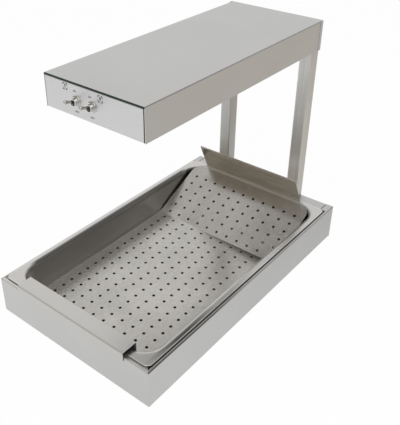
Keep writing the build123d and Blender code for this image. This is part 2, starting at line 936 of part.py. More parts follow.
# The hank's oval, drawn in at its waist: a round lobe at each end and a slack arc on each side.
# The place is given in turns from the right end, and each quarter is the first one mirrored.
def oval_point(turns):
    quarter = turns % 1 * 4
    share = quarter % 1 if int(quarter) % 2 == 0 else 1 - quarter % 1
    along = share * hank_quarter
    if along < hank_lobe_arc:
        angle = along / hank_lobe_radius
        x = hank_lobe_x + hank_lobe_radius * math.cos(angle)
        y = hank_lobe_radius * math.sin(angle)
    else:
        angle = (hank_quarter - along) / hank_waist_radius
        x = hank_waist_radius * math.sin(angle)
        y = hank_waist + hank_waist_radius * (1 - math.cos(angle))
    return Vector(x if int(quarter) in (0, 3) else -x, y if quarter < 2 else -y)


# Centre line of the hank: the oval, spiralling in by one pitch a turn on the lower layer,
# climbing to the upper layer along a side, and spiralling out again
def hank_point(turns):
    tangent = (oval_point(turns + 1e-5) - oval_point(turns - 1e-5)).normalized()
    inward = Vector(-tangent.Y, tangent.X)
    shift = hank_pitch * (min(turns, 2 * hank_reverse - turns) - hank_start)
    share = min(max((turns - hank_reverse) / hank_climb + 0.5, 0), 1)
    height = hank_lift + cord_radius + hank_pitch * share**2 * (3 - 2 * share)
    middle = Vector(hank_x, rear_y + hank_behind, height)
    return middle + oval_point(turns) + inward * shift


def hank_tangent(turns):
    return (hank_point(turns + 1e-4) - hank_point(turns - 1e-4)).normalized()


def hank_entry():
    return hank_point(hank_start) - hank_tangent(hank_start) * hank_tail


def hank_exit():
    return hank_point(hank_end) + hank_tangent(hank_end) * hank_tail


# An arc from a point with a given tangent to another point
def arc_from(start, tangent, end):
    chord = end - start
    unit = chord.normalized()
    side = tangent - unit * tangent.dot(unit)
    if side.length < 1e-6:
        return Line(start, end)
    half_angle = math.atan2(side.length, tangent.dot(unit)) / 2
    sagitta = chord.length / 2 * math.tan(half_angle)
    return ThreePointArc(start, (start + end) * 0.5 + side.normalized() * sagitta, end)


# Two tangent arcs between two points with given tangents
def biarc(start, start_tangent, end, end_tangent):
    gap = end - start
    both = start_tangent + end_tangent
    bend = 2 * (1 - start_tangent.dot(end_tangent))
    across = gap.dot(both)
    if bend < 1e-9:
        reach = gap.length / 2
    else:
        reach = (-across + math.sqrt(across**2 + bend * gap.dot(gap))) / bend
    joint = (start + start_tangent * reach + end - end_tangent * reach) * 0.5
    first = arc_from(start, start_tangent, joint)
    second = arc_from(end, -end_tangent, joint)
    return first, second


# The hank's tube: a straight end, two arcs between each pair of marks on the oval, a straight end
def make_hank():
    joint = hank_lobe_arc / (4 * hank_quarter)
    marks = [0, joint, 0.25, 0.5 - joint, 0.5, 0.5 + joint, 0.75, 1 - joint]
    places = [turn + mark for turn in range(hank_turns) for mark in marks]
    places = [hank_start] + [p for p in places if hank_start < p < hank_end] + [hank_end]
    edges = [Line(hank_entry(), hank_point(hank_start))]
    for a, b in zip(places, places[1:]):
        edges += biarc(hank_point(a), hank_tangent(a), hank_point(b), hank_tangent(b))
    edges.append(Line(hank_point(hank_end), hank_exit()))
    path = Wire([edge.edge() for edge in edges])
    section = Plane(origin=hank_entry(), z_dir=hank_tangent(hank_start)) * Circle(cord_radius)
    return sweep(section, path=path), path


# Least gap of a tube to itself, on points at even steps along its centre line
def self_gap(paths, step):
    points = []
    for path in paths:
        count = round(path.length / step)
        spots = [path.length * k / count for k in range(count)]
        points += [path.position_at(d, position_mode=PositionMode.LENGTH) for d in spots]
    apart = round(8 * cord_radius / step)
    least = min(
        (points[i] - points[j]).length
        for i in range(len(points))
        for j in range(i + apart, len(points))
    )
    return least - 2 * cord_radius


# Strap round every turn at the waist, with its square lock on top
def make_tie():
    crossings = [hank_point(turn + side) for turn in range(hank_turns) for side in (0.25, 0.75)]
    room = cord_radius + tie_gap
    near = min(p.Y for p in crossings) - room
    far = max(p.Y for p in crossings) + room
    low = min(p.Z for p in crossings) - cord_radius - tie_gap / 2
    high = max(p.Z for p in crossings) + cord_radius + tie_gap / 2
    middle = Vector(hank_x, (near + far) / 2, (low + high) / 2)
    plane = Plane(origin=middle, x_dir=(0, 1, 0), z_dir=(1, 0, 0))
    inside = RectangleRounded(far - near, high - low, cord_radius)
    outside = RectangleRounded(
        far - near + 2 * tie_sheet, high - low + 2 * tie_sheet, cord_radius + tie_sheet
    )
    strap = extrude(plane * (outside - inside), amount=tie_width / 2, both=True)
    top = high + tie_sheet / 2
    reach = tie_head_size / 2
    head = block(
        (middle.X - reach, middle.Y - reach, top),
        (middle.X + reach, middle.Y + reach, top + tie_head_size / 2),
    )
    return strap + head


def plug_place():
    rear = Vector(*lead_points()[-1])
    return rear.X, rear.Y, rear.Z


# Moulded plug lying with its pins to the right: tapered grip and a rounded block
def make_plug():
    x, y, z = plug_place()
    shoulder = x + plug_grip_length
    side = Plane(origin=(x, y, z), x_dir=(0, 1, 0), z_dir=(1, 0, 0))
    far_side = Plane(origin=(shoulder, y, z), x_dir=(0, 1, 0), z_dir=(1, 0, 0))
    small = RectangleRounded(plug_grip_size, plug_grip_size, plug_grip_corner)
    large = RectangleRounded(plug_body_width, plug_body_height, plug_body_corner)
    grip = loft([side * small, far_side * large])
    return grip + extrude(far_side * large, amount=plug_body_length)


def make_plug_pins():
    x, y, z = plug_place()
    face = x + plug_grip_length + plug_body_length
    plane = Plane(origin=(face, y, z), x_dir=(0, 1, 0), z_dir=(1, 0, 0))
    pins = []
    for sign in (-1, 1):
        place = Pos(sign * plug_blade_spacing / 2, plug_pin_drop / 2)
        blade = place * Rectangle(plug_blade_sheet, plug_blade_width)
        pins.append(extrude(plane * blade, amount=plug_blade_length))
    ground = Pos(0, -plug_pin_drop) * Circle(plug_pin_radius)
    pins.append(extrude(plane * ground, amount=plug_pin_length))
    return pins


# Points of the cord from the strain relief down behind the right post to the hank
def drop_points():
    entry = hank_entry()
    run_in = entry - hank_tangent(hank_start) * hank_run_in
    return [
        (relief_x, rear_y + relief_flange + relief_length, relief_z),
        (relief_x, rear_y + 58.5, relief_z),
        (19.0, rear_y + 81.0, 380.0),
        (27.0, rear_y + 87.0, 345.0),
        (35.0, rear_y + 82.0, 295.0),
        (43.0, rear_y + 74.0, 230.0),
        (48.0, rear_y + 70.0, 160.0),
        (51.0, rear_y + 70.0, 100.0),
        (49.0, rear_y + 69.0, 62.0),
        (39.0, rear_y + 69.0, 27.0),
        (run_in.X, run_in.Y, run_in.Z),
        (entry.X, entry.Y, entry.Z),
    ]


# Points of the cord from the hank's end to the plug
def lead_points():
    leaving = hank_exit()
    run_out = leaving + hank_tangent(hank_end) * hank_run_out
    rest = plug_body_height / 2
    return [
        (leaving.X, leaving.Y, leaving.Z),
        (run_out.X, run_out.Y, run_out.Z),
        (36.0, rear_y + 17.0, rest),
        (64.0, rear_y + 17.0, rest),
    ]


front_rail, rear_rail, left_rail, right_rail = make_rails()
rear_panel = make_rear_panel()
light_x, heat_x = switch_places()
cord_drop, drop_path = cord_tube(drop_points())
cord_lead, lead_path = cord_tube(lead_points())
cord_hank, hank_path = make_hank()
cord_paths = [drop_path, hank_path, lead_path]
hank_ratio = cord_hank.volume / (math.pi * cord_radius**2 * hank_path.length)
print("hank volume", round(hank_ratio, 4), "least gap", round(self_gap(cord_paths, 2.0), 2))
print("cord length", round(sum(path.length for path in cord_paths) + relief_length))

nodes = {
    "front_rail": front_rail,
    "rear_rail": rear_rail,
    "left_rail": left_rail,
    "right_rail": right_rail,
    "corner_gussets": make_gussets(),
    "left_post": make_post(-post_x),
    "right_post": make_post(post_x),
    "base_screws": make_screws(screw_heights()[:2]),
    "head_screws": make_screws(screw_heights()[2:]),
    "head_cover": make_cover(rear_panel),
    "front_panel": make_front_panel(),
    "rear_panel": rear_panel,
    "bottom_plate": make_bottom_plate(),
    "edge_trim": make_edge_trim(),
    "heat_shield": make_bulkhead(),
    "heating_tube": make_heater(),
    "heater_terminals": make_terminals(),
    "heater_clips": make_clips(),
    "reflector": make_reflector(),
    "reflector_standoffs": make_standoffs(),
    "lamp_holder": make_lamp_holder(),
    "lamp_bulb": make_bulb(),
    "terminal_block": make_terminal_block(),
    "wire_loom": make_loom(),
    "light_switch_body": make_switch_body(light_x),
    "heat_switch_body": make_switch_body(heat_x),
    "light_switch_bushing": make_bushing(light_x),
    "heat_switch_bushing": make_bushing(heat_x),
    "switch_washers": make_washers(),
    "switch_nuts": make_nuts(),
    "light_switch_lever": make_lever(light_x),
    "heat_switch_lever": make_lever(heat_x),
    "food_pan": make_pan(),
    "perforated_tray": make_tray(),
    "strain_relief": make_relief(),
    "power_cord": cord_drop,
    "cord_hank": cord_hank,
    "plug_lead": cord_lead,
    "cable_tie": make_tie(),
    "plug": make_plug(),
    "plug_pins": make_plug_pins(),
}

os.makedirs("parts", exist_ok=True)
for name, shape in nodes.items():
    solid = Compound(shape) if isinstance(shape, list) else shape
    export_step(solid, f"parts/{name}.step")
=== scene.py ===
import math

import bpy
import numpy as np
from mathutils import Matrix, Vector


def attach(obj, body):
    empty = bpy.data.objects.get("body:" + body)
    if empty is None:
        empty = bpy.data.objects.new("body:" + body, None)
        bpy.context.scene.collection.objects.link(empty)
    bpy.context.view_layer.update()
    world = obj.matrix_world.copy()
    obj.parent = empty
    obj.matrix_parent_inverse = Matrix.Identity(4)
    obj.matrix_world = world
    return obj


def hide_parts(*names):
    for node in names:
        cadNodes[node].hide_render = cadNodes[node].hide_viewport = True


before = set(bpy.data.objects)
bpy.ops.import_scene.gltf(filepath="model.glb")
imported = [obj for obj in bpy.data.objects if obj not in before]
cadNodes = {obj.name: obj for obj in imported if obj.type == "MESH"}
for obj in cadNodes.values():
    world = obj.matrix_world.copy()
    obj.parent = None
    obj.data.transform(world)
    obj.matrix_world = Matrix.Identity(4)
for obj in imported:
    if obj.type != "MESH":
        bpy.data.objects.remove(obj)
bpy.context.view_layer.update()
scene = bpy.context.scene

# Camera: angles in degrees, distances in metres, image sizes in pixels, the sensor in millimetres

cameraLook = {
    "azimuth": 39.69,
    "elevation": 30.99,
    "roll": -0.22,
    "distance": 1.09972,
    "target": (0.00327, -0.0315, 0.21518),
    "focalPixels": 642.57,
    "centrePixels": (170.33, 180.77),
    "imagePixels": (400.0, 425.0),
    "sensor": 36.0,
    "clip": (0.01, 50.0),
}


# The camera's axes: back points from the target to the eye, right lies level, and both right and
# up are then turned about back by the roll.
def addCamera(look):
    azimuth = math.radians(look["azimuth"])
    elevation = math.radians(look["elevation"])
    roll = math.radians(look["roll"])
    back = Vector((
        math.sin(azimuth) * math.cos(elevation),
        -math.cos(azimuth) * math.cos(elevation),
        math.sin(elevation),
    ))
    level = Vector((0, 0, 1)).cross(back).normalized()
    above = back.cross(level)
    right = level * math.cos(roll) + above * math.sin(roll)
    up = above * math.cos(roll) - level * math.sin(roll)
    eye = Vector(look["target"]) + back * look["distance"]
    width, height = look["imagePixels"]
    longSide = max(width, height)
    data = bpy.data.cameras.new("camera")
    data.sensor_width = look["sensor"]
    data.lens = look["focalPixels"] / longSide * look["sensor"]
    data.shift_x = (width / 2 - look["centrePixels"][0]) / longSide
    data.shift_y = (look["centrePixels"][1] - height / 2) / longSide
    data.clip_start, data.clip_end = look["clip"]
    camera = bpy.data.objects.new("camera", data)
    camera.matrix_world = Matrix((
        (right.x, up.x, back.x, eye.x),
        (right.y, up.y, back.y, eye.y),
        (right.z, up.z, back.z, eye.z),
        (0, 0, 0, 1),
    ))
    scene.collection.objects.link(camera)
    scene.camera = camera


addCamera(cameraLook)
print("camera placed")

# Power cord: one flexible lead from the strain relief to the plug, in metres. The y of its points is
# measured from the rear of the base, and places along its hank in turns from the hank's right end.

cordLook = {
    "diameter": 0.007,
    "length": 1.79,
    "rear": 0.2815,
    "drop": [
        (0.014, 0.029, 0.399),
        (0.014, 0.0585, 0.399),
        (0.019, 0.081, 0.380),
        (0.027, 0.087, 0.345),
        (0.035, 0.082, 0.295),
        (0.043, 0.074, 0.230),
        (0.048, 0.070, 0.160),
        (0.051, 0.070, 0.100),
        (0.049, 0.069, 0.062),
        (0.039, 0.069, 0.027),
    ],
    "lead": [(0.036, 0.017, 0.011), (0.064, 0.017, 0.011)],
    "lobeRadius": 0.030,
    "lobeSpacing": 0.130,
    "waist": 0.013,
    "pitch": 0.008,
    "turns": 3,
    "reverse": 1.25,
    "climb": 0.2,
    "tail": 0.008,
    "runIn": 0.031,
    "runOut": 0.024,
    "centre": (-0.090, 0.040, 0.0048),
    "pointsPerTurn": 36,
    "sideStep": 1e-5,  # turns to each side, for the direction of the oval
    "endStep": 1e-4,  # turns to each side, for the direction of the hank's ends
    "ringSteps": 5,
    "curveSteps": 6,
}


# The hank's oval at places given in turns: round lobes of one radius, joined by slack arcs that
# touch them, with every quarter the first one mirrored.
def ovalPoints(look, turns):
    lobe, waist, half = look["lobeRadius"], look["waist"], look["lobeSpacing"] / 2
    slack = (half**2 + waist**2 - lobe**2) / (2 * (lobe - waist))
    lobeArc = lobe * math.atan2(waist + slack, -half)
    quarterArc = lobeArc + slack * math.atan2(half, waist + slack)
    quarter = turns % 1 * 4
    share = quarter % 1
    along = np.where(quarter.astype(int) % 2 == 0, share, 1 - share) * quarterArc
    lobeAngle = along / lobe
    slackAngle = (quarterArc - along) / slack
    onLobe = along < lobeArc
    x = np.where(onLobe, half + lobe * np.cos(lobeAngle), slack * np.sin(slackAngle))
    y = np.where(onLobe, lobe * np.sin(lobeAngle), waist + slack * (1 - np.cos(slackAngle)))
    x = np.where((quarter >= 1) & (quarter < 3), -x, x)
    y = np.where(quarter >= 2, -y, y)
    return np.stack([x, y], axis=1), quarterArc * 4


# The hank's first place in turns: a quarter of a lobe's circle, over the length of one turn.
def firstPlace(look):
    turnLength = ovalPoints(look, np.zeros(1))[1]
    return look["lobeRadius"] * math.pi / 2 / turnLength


# Centre line of the hank: the oval moved in by one pitch a turn, and out again after it reverses,
# with a smooth climb to the upper layer where it reverses.
def hankPoints(look, places):
    step = look["sideStep"]
    oval = ovalPoints(look, places)[0]
    tangent = ovalPoints(look, places + step)[0] - ovalPoints(look, places - step)[0]
    tangent /= np.linalg.norm(tangent, axis=1, keepdims=True)
    inward = np.stack([-tangent[:, 1], tangent[:, 0]], axis=1)
    shift = look["pitch"] * (np.minimum(places, 2 * look["reverse"] - places) - firstPlace(look))
    flat = oval + inward * shift[:, None]
    share = np.clip((places - look["reverse"]) / look["climb"] + 0.5, 0, 1)
    height = look["pitch"] * share**2 * (3 - 2 * share)
    middle = np.array(look["centre"]) + np.array([0, look["rear"], 0])
    return np.column_stack([flat, height]) + middle


# The route: the drop, a run into the hank along its first direction, the hank, a run out of it along
# its last direction, and the lead to the plug.
def cordRoute(look):
    start = firstPlace(look)
    end = look["turns"] - start
    places = np.linspace(start, end, round((end - start) * look["pointsPerTurn"]) + 1)
    hank = hankPoints(look, places)
    step = look["endStep"]
    near = hankPoints(look, np.array([start - step, start + step, end - step, end + step]))
    entering = (near[1] - near[0]) / np.linalg.norm(near[1] - near[0])
    leaving = (near[3] - near[2]) / np.linalg.norm(near[3] - near[2])
    behind = np.array([0, look["rear"], 0])
    wayIn = hank[0] - entering * look["tail"]
    wayOut = hank[-1] + leaving * look["tail"]
    return np.vstack([
        np.array(look["drop"]) + behind,
        wayIn - entering * look["runIn"],
        wayIn,
        hank,
        wayOut,
        wayOut + leaving * look["runOut"],
        np.array(look["lead"]) + behind,
    ])


def addCord(look):
    route = cordRoute(look)
    data = bpy.data.curves.new("mainsLead", "CURVE")
    data.dimensions = "3D"
    data.bevel_depth = 1.0  # times the radius of each point
    data.bevel_resolution = look["ringSteps"]
    data.use_fill_caps = True
    spline = data.splines.new("NURBS")
    spline.points.add(len(route) - 1)
    spline.points.foreach_set("co", np.column_stack([route, np.ones(len(route))]).ravel())
    spline.points.foreach_set("radius", np.full(len(route), look["diameter"] / 2))
    spline.order_u = 3
    spline.use_endpoint_u = True
    spline.resolution_u = look["curveSteps"]
    lead = bpy.data.objects.new("mainsLead", data)
    scene.collection.objects.link(lead)
    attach(lead, "base")
    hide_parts("power_cord", "cord_hank", "plug_lead")
    return lead


mainsLead = addCord(cordLook)
print("cord laid")

# Panel marks: ON and OFF at each switch and two plain signs in brackets, as thin printed strokes.
# Sizes and places are in metres. Letters are drawn in a box one high, signs in one from -1 to 1.

marksLook = {
    "front": -0.1965,
    "print": 0.00012,
    "stroke": 0.00055,
    "letterHeight": 0.0028,
    "letterPitch": 0.0029,
    "wordPlaces": {
        "ON": [(-0.0341, 0.4247), (-0.0036, 0.4239)],
        "OFF": [(-0.0313, 0.3933), (-0.0003, 0.3929)],
    },
    "letters": {
        "O": [{"centre": (0.40, 0.5), "radii": (0.34, 0.44), "points": 25}],
        "N": [[(0.1, 0.0), (0.1, 1.0), (0.7, 0.0), (0.7, 1.0)]],
        "F": [[(0.65, 1.0), (0.12, 1.0), (0.12, 0.0)], [(0.12, 0.52), (0.55, 0.52)]],
    },
    "signPlaces": {"bar": (-0.0538, 0.4273), "disc": (0.0165, 0.4263)},
    "signSize": (0.0080, 0.0094),
    "signStroke": 0.0012,
    "bracket": [(0.25, 1.0), (1.0, 1.0), (1.0, 0.35)],
    "signs": {
        "bar": [[(0.0, -0.55), (0.0, 0.5)], [(-0.28, 0.5), (0.28, 0.5)]],
        "disc": [
            {"centre": (0.0, 0.25), "radii": (0.22, 0.22), "points": 21},
            [(0.0, 0.0), (0.0, -0.6)],
        ],
    },
}


# A stroke's path: a broken line through its points, or an ellipse, which is its centre plus its
# radii times the cosine and the sine of one full turn.
def strokePath(shape):
    if not isinstance(shape, dict):
        return np.array(shape)
    turn = np.linspace(0, 2 * np.pi, shape["points"])
    circle = np.column_stack([np.cos(turn), np.sin(turn)])
    return np.array(shape["centre"]) + np.array(shape["radii"]) * circle


# A word's strokes: its letters side by side at one pitch, with the middle of the word at its place
def wordStrokes(word, place, look):
    size, pitch = look["letterHeight"], look["letterPitch"]
    left = np.array(place) - (pitch * len(word) / 2, size / 2)
    strokes = []
    for k, letter in enumerate(word):
        paths = [strokePath(shape) for shape in look["letters"][letter]]
        strokes += [left + (pitch * k, 0) + size * path for path in paths]
    return strokes


# A sign's strokes: one bracket mirrored into the four corners round its place, and the sign inside
def signStrokes(kind, place, look):
    half = np.array(look["signSize"]) / 2
    bracket = np.array(look["bracket"])
    corners = [np.array((a, b)) for a in (-1, 1) for b in (-1, 1)]
    brackets = [place + bracket * corner * half for corner in corners]
    return brackets + [place + strokePath(shape) * half for shape in look["signs"][kind]]


# A ribbon of even width: each point of the path is moved half the width to both sides.
def ribbon(path, width):
    along = np.gradient(path, axis=0)
    along /= np.linalg.norm(along, axis=1, keepdims=True)
    aside = np.column_stack([-along[:, 1], along[:, 0]]) * width / 2
    edge = np.stack([path - aside, path + aside], axis=1).reshape(-1, 2)
    first = 2 * np.arange(len(path) - 1)[:, None]
    return edge, first + np.array([[0, 2, 3, 1]])


# All strokes as ribbons in one mesh on the front of the head, with the thickness of a print
def addMarks(look):
    strokes = []
    for word, places in look["wordPlaces"].items():
        for place in places:
            strokes += [(path, look["stroke"]) for path in wordStrokes(word, place, look)]
    for kind, place in look["signPlaces"].items():
        strokes += [(path, look["signStroke"]) for path in signStrokes(kind, np.array(place), look)]
    points, faces, count = [], [], 0
    for path, width in strokes:
        edge, quads = ribbon(path, width)
        points.append(edge)
        faces.append(quads + count)
        count += len(edge)
    flat = np.vstack(points)
    places = np.column_stack([flat[:, 0], np.full(len(flat), look["front"]), flat[:, 1]])
    data = bpy.data.meshes.new("panelMarks")
    data.from_pydata(places.tolist(), [], np.vstack(faces).tolist())
    marks = bpy.data.objects.new("panelMarks", data)
    scene.collection.objects.link(marks)
    thick = marks.modifiers.new("print", "SOLIDIFY")
    thick.thickness = look["print"]
    thick.offset = 1.0
    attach(marks, "base")
    return marks


panelMarks = addMarks(marksLook)
print("panel marked")

# Shader effects: noise settings, and the ends between which a noise becomes a value from 0 to 1

effectLook = {
    "grainCoarse": {"Scale": 1.0, "Detail": 3.0, "Roughness": 0.6},
    "grainFine": {"Scale": 4.3, "Detail": 2.0, "Roughness": 0.5},
    "grainEnds": (0.7, 1.3),
    "patchNoise": {"Detail": 2.5, "Roughness": 0.55, "Distortion": 0.6},
    "patchEnds": (0.3, 0.7),
    "speckleNoise": {"Detail": 4.0, "Roughness": 0.7},
    "speckleEnds": (0.35, 0.65),
    "foldPower": 0.5,
    "bumpDistance": 0.0002,
}


# Gives each named input of a node a value or a link.
def setInputs(tree, node, inputs):
    for key, value in inputs.items():
        if isinstance(value, bpy.types.NodeSocket):
            tree.links.new(value, node.inputs[key])
        else:
            node.inputs[key].default_value = value


# Adds a node, sets its properties and then its inputs.
def addNode(tree, kind, inputs=None, **properties):
    node = tree.nodes.new(kind)
    for key, value in properties.items():
        setattr(node, key, value)
    setInputs(tree, node, inputs or {})
    return node


def addMath(tree, operation, first, second):
    return addNode(tree, "ShaderNodeMath", {0: first, 1: second}, operation=operation).outputs[0]


def addVectorMath(tree, operation, *vectors):
    inputs = dict(enumerate(vectors))
    return addNode(tree, "ShaderNodeVectorMath", inputs, operation=operation).outputs["Vector"]


def addDotProduct(tree, first, second):
    inputs = {0: first, 1: second}
    return addNode(tree, "ShaderNodeVectorMath", inputs, operation="DOT_PRODUCT").outputs["Value"]


def addNoise(tree, coordinates, settings):
    return addNode(tree, "ShaderNodeTexNoise", dict(settings, Vector=coordinates)).outputs[0]


# Carries a value from one pair of ends to another, held at the ends.
def addRange(tree, value, given, made=(0.0, 1.0), kind="LINEAR"):
    inputs = {0: value, 1: given[0], 2: given[1], 3: made[0], 4: made[1]}
    return addNode(tree, "ShaderNodeMapRange", inputs, interpolation_type=kind).outputs[0]


def mixValues(tree, share, first, second):
    return addNode(tree, "ShaderNodeMix", {0: share, 2: first, 3: second}).outputs[0]


def mixColours(tree, share, first, second, blend="MIX"):
    inputs = {0: share, 6: first, 7: second}
    return addNode(tree, "ShaderNodeMix", inputs, data_type="RGBA", blend_type=blend).outputs[2]


def newGroup(name, inputs, outputs):
    group = bpy.data.node_groups.new(name, "ShaderNodeTree")
    for key, kind in inputs:
        group.interface.new_socket(key, in_out="INPUT", socket_type="NodeSocket" + kind)
    for key, kind in outputs:
        group.interface.new_socket(key, in_out="OUTPUT", socket_type="NodeSocket" + kind)
    given = group.nodes.new("NodeGroupInput").outputs
    made = group.nodes.new("NodeGroupOutput").inputs
    return group, given, made


# Brushed grain: noise stretched along the brushing, coarse and fine, as a streak from 0 to 1.
def makeBrushedGrain():
    group, given, made = newGroup(
        "brushedGrain",
        [("Coordinates", "Vector"), ("Stretch", "Vector")],
        [("Streak", "Float"), ("Height", "Float")],
    )
    spread = addVectorMath(group, "MULTIPLY", given["Coordinates"], given["Stretch"])
    coarse = addNoise(group, spread, effectLook["grainCoarse"])
    fine = addNoise(group, spread, effectLook["grainFine"])
    both = addMath(group, "ADD", coarse, fine)
    streak = addRange(group, both, effectLook["grainEnds"])
    group.links.new(streak, made["Streak"])
    group.links.new(both, made["Height"])
    return group


# Soft patches: broad noise, as from handling and uneven polishing, as a mask from 0 to 1.
def makeSoftPatches():
    group, given, made = newGroup(
        "softPatches",
        [("Coordinates", "Vector"), ("Scale", "Float")],
        [("Patch", "Float")],
    )
    noise = addNoise(group, given["Coordinates"], dict(effectLook["patchNoise"], Scale=given["Scale"]))
    patch = addRange(group, noise, effectLook["patchEnds"], kind="SMOOTHSTEP")
    group.links.new(patch, made["Patch"])
    return group


# Fine speckle: close noise, as on rolled sheet or moulded rubber, as a value and a height.
def makeSpeckle():
    group, given, made = newGroup(
        "speckle",
        [("Coordinates", "Vector"), ("Scale", "Float")],
        [("Value", "Float"), ("Height", "Float")],
    )
    noise = addNoise(group, given["Coordinates"], dict(effectLook["speckleNoise"], Scale=given["Scale"]))
    value = addRange(group, noise, effectLook["speckleEnds"])
    group.links.new(value, made["Value"])
    group.links.new(noise, made["Height"])
    return group


# Border band: how far a place lies outside a box, which is the greatest of its distances along the
# three axes, as a mask that is one between a start and an end and fades to nothing beyond them,
# slowest along the axes with a low stretch.
def makeBorderBand():
    group, given, made = newGroup(
        "borderBand",
        [
            ("Coordinates", "Vector"),
            ("Centre", "Vector"),
            ("Half", "Vector"),
            ("Stretch", "Vector"),
            ("Start", "Float"),
            ("End", "Float"),
            ("Fade", "Float"),
        ],
        [("Mask", "Float")],
    )
    moved = addVectorMath(group, "SUBTRACT", given["Coordinates"], given["Centre"])
    aside = addVectorMath(group, "ABSOLUTE", moved)
    beyond = addVectorMath(group, "SUBTRACT", aside, given["Half"])
    scaled = addVectorMath(group, "MULTIPLY", beyond, given["Stretch"])
    x, y, z = addNode(group, "ShaderNodeSeparateXYZ", {0: scaled}).outputs
    far = addMath(group, "MAXIMUM", addMath(group, "MAXIMUM", x, y), z)
    first = addMath(group, "SUBTRACT", given["Start"], given["Fade"])
    last = addMath(group, "ADD", given["End"], given["Fade"])
    rise = addRange(group, far, (first, given["Start"]))
    fall = addRange(group, far, (given["End"], last), made=(1.0, 0.0))
    group.links.new(addMath(group, "MULTIPLY", rise, fall), made["Mask"])
    return group


# Fold shade: painted shade in front of a fold across the tray, a wedge whose reach grows from its left
# end to its right end, as a mask that is deepest at the fold.
def makeFoldShade():
    group, given, made = newGroup(
        "foldShade",
        [
            ("Coordinates", "Vector"),
            ("Place", "Float"),
            ("Left", "Float"),
            ("Right", "Float"),
            ("Reach", "Float"),
        ],
        [("Mask", "Float")],
    )
    axes = addNode(group, "ShaderNodeSeparateXYZ", {0: given["Coordinates"]}).outputs
    x, y = axes["X"], axes["Y"]
    across = addRange(group, x, (given["Left"], given["Right"]))
    reach = addMath(group, "MULTIPLY", across, given["Reach"])
    start = addMath(group, "SUBTRACT", given["Place"], reach)
    depth = addRange(group, y, (start, given["Place"]))
    before = addMath(group, "LESS_THAN", y, given["Place"])
    wedge = addMath(group, "MULTIPLY", depth, before)
    fading = addMath(group, "POWER", across, effectLook["foldPower"])
    group.links.new(addMath(group, "MULTIPLY", wedge, fading), made["Mask"])
    return group


brushedGrain = makeBrushedGrain()
softPatches = makeSoftPatches()
speckle = makeSpeckle()
borderBand = makeBorderBand()
foldShade = makeFoldShade()


# Places a group in a material with its own values, on the material's coordinates.
def useGroup(tree, group, coordinates, inputs):
    node = tree.nodes.new("ShaderNodeGroup")
    node.node_tree = group
    setInputs(tree, node, dict(inputs, Coordinates=coordinates))
    return node.outputs


def newMaterial(name):
    material = bpy.data.materials.new(name)
    material.use_nodes = True
    tree = material.node_tree
    tree.nodes.clear()
    output = tree.nodes.new("ShaderNodeOutputMaterial")
    shader = tree.nodes.new("ShaderNodeBsdfPrincipled")
    tree.links.new(shader.outputs[0], output.inputs[0])
    coordinates = tree.nodes.new("ShaderNodeTexCoord").outputs["Object"]
    return material, tree, shader, coordinates


# Feeds a finish into its shader, with the height as a bump of the given relief.
def setFinish(tree, shader, colour, roughness, metallic, relief, height):
    distance = effectLook["bumpDistance"]
    bump = addNode(tree, "ShaderNodeBump", {"Strength": relief, "Distance": distance, "Height": height})
    setInputs(tree, shader, {
        "Base Color": colour,
        "Roughness": roughness,
        "Metallic": metallic,
        "Normal": bump.outputs[0],
    })


# Sheet steel: two tones mixed by patches and streaks, and a roughness and relief that follow the
# brushing. Each band lays its own tone, roughness and relief over them at its place, many of them
# painted light or shade, and may have lines in a second tone. A fold lays painted shade over what
# lies in front of it.
def makeSteel(name, look):
    material, tree, shader, coordinates = newMaterial(name)
    grain = useGroup(tree, brushedGrain, coordinates, {"Stretch": look["stretch"]})
    patch = useGroup(tree, softPatches, coordinates, {"Scale": look["patchScale"]})["Patch"]
    shade = mixValues(tree, look["streaks"], patch, grain["Streak"])
    colour = mixColours(tree, shade, look["dark"], look["light"])
    brushed = addRange(tree, grain["Streak"], (0.0, 1.0), look["roughness"])
    worn = addRange(tree, patch, (0.0, 1.0), (look["polish"], 0.0))
    roughness = addMath(tree, "ADD", brushed, worn)
    relief = look["relief"]
    for band in look.get("bands", []):
        mask = useGroup(tree, borderBand, coordinates, band["box"])["Mask"]
        tone = band["tone"]
        if "lines" in band:
            lines = useGroup(tree, brushedGrain, coordinates, {"Stretch": band["stretch"]})["Streak"]
            tone = mixColours(tree, lines, tone, band["lines"])
        colour = mixColours(tree, mask, colour, tone)
        roughness = mixValues(tree, mask, roughness, band["roughness"])
        relief = mixValues(tree, mask, relief, band["relief"])
    if "fold" in look:
        mask = useGroup(tree, foldShade, coordinates, look["fold"]["shade"])["Mask"]
        colour = mixColours(tree, mask, colour, look["fold"]["tone"])
    setFinish(tree, shader, colour, roughness, look["metallic"], relief, grain["Height"])
    return material


# Plain surfaces: two tones and a roughness mixed by a fine speckle, with a little relief. One side may
# be a metal plate.
def makePlain(name, look):
    material, tree, shader, coordinates = newMaterial(name)
    dots = useGroup(tree, speckle, coordinates, {"Scale": look["scale"]})
    colour = mixColours(tree, dots["Value"], look["dark"], look["light"])
    roughness = addRange(tree, dots["Value"], (0.0, 1.0), look["roughness"])
    metallic = look["metallic"]
    if "plate" in look:
        metallic = useGroup(tree, borderBand, coordinates, look["plate"]["box"])["Mask"]
        colour = mixColours(tree, metallic, colour, look["plate"]["tone"])
    setFinish(tree, shader, colour, roughness, metallic, look["relief"], dots["Height"])
    return material


def dress(material, *names):
    for name in names:
        data = cadNodes[name].data
        data.materials.clear()
        data.materials.append(material)


# Boxes for bands, in metres: a half size of 1 takes in the whole object along that axis.

evenStretch = (1.0, 1.0, 1.0)
deepInside = -2.0  # lower than the depth of any place in a box


# A band from a start to an end, as distances out of a box, negative ones inside it
def besideBox(centre, half, start, end, fade, stretch=evenStretch):
    return {"Centre": centre, "Half": half, "Stretch": stretch, "Start": start, "End": end, "Fade": fade}


# A band that fills a box
def insideBox(centre, half, fade, stretch=evenStretch):
    return besideBox(centre, half, deepInside, 0.0, fade, stretch)


